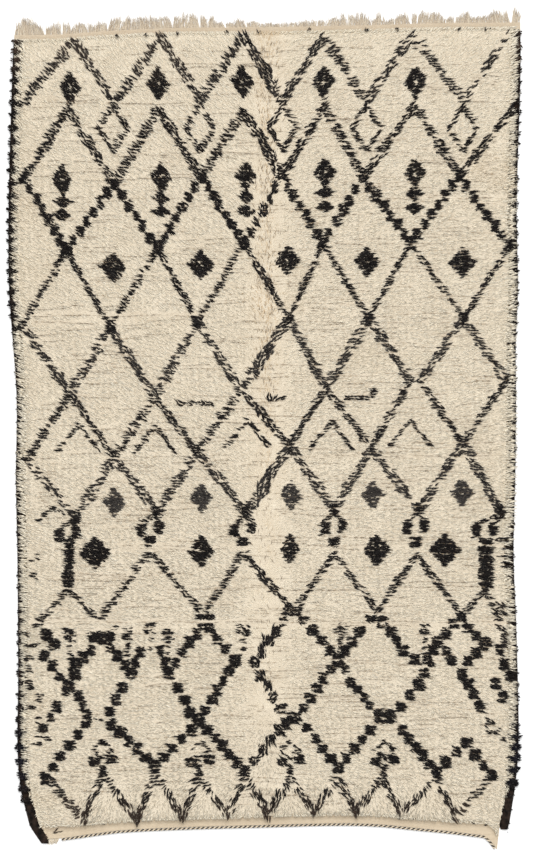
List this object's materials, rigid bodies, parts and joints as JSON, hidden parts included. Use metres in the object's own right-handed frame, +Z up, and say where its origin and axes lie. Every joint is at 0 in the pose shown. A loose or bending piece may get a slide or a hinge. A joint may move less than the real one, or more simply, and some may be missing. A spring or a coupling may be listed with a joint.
{
  "type": "beni ourain rug",
  "caption": "Long-pile ivory wool rug with a dark lozenge lattice, dark overcast sides with shaggy tufts, a fringed head and a flat-woven foot edged by a twined cord.",
  "frame": {"origin": "centre of the rug's footprint, on the floor under it", "axes": "+Y along the rug's length towards its fringed head, +X to the right seen from above with the head away, +Z up"},
  "size_m": [1.8126, 2.948, 0.0201],
  "materials": {
    "ivory_pile": "long soft knotted wool pile, matte, with a dark lozenge lattice knotted in",
    "warp_wool": "undyed spun wool, matte",
    "dark_side_wool": "brown-black wool wrapped over the side warps, matte",
    "twined_yarns": "black and ivory yarns twined together, matte"
  },
  "bodies": {
    "root": {"pile_field": "ivory_pile", "head_fringe": "warp_wool", "left_selvedge": "dark_side_wool", "right_selvedge": "dark_side_wool", "twined_cord": "twined_yarns", "corner_tuft": "warp_wool"}
  },
  "joints": []
}
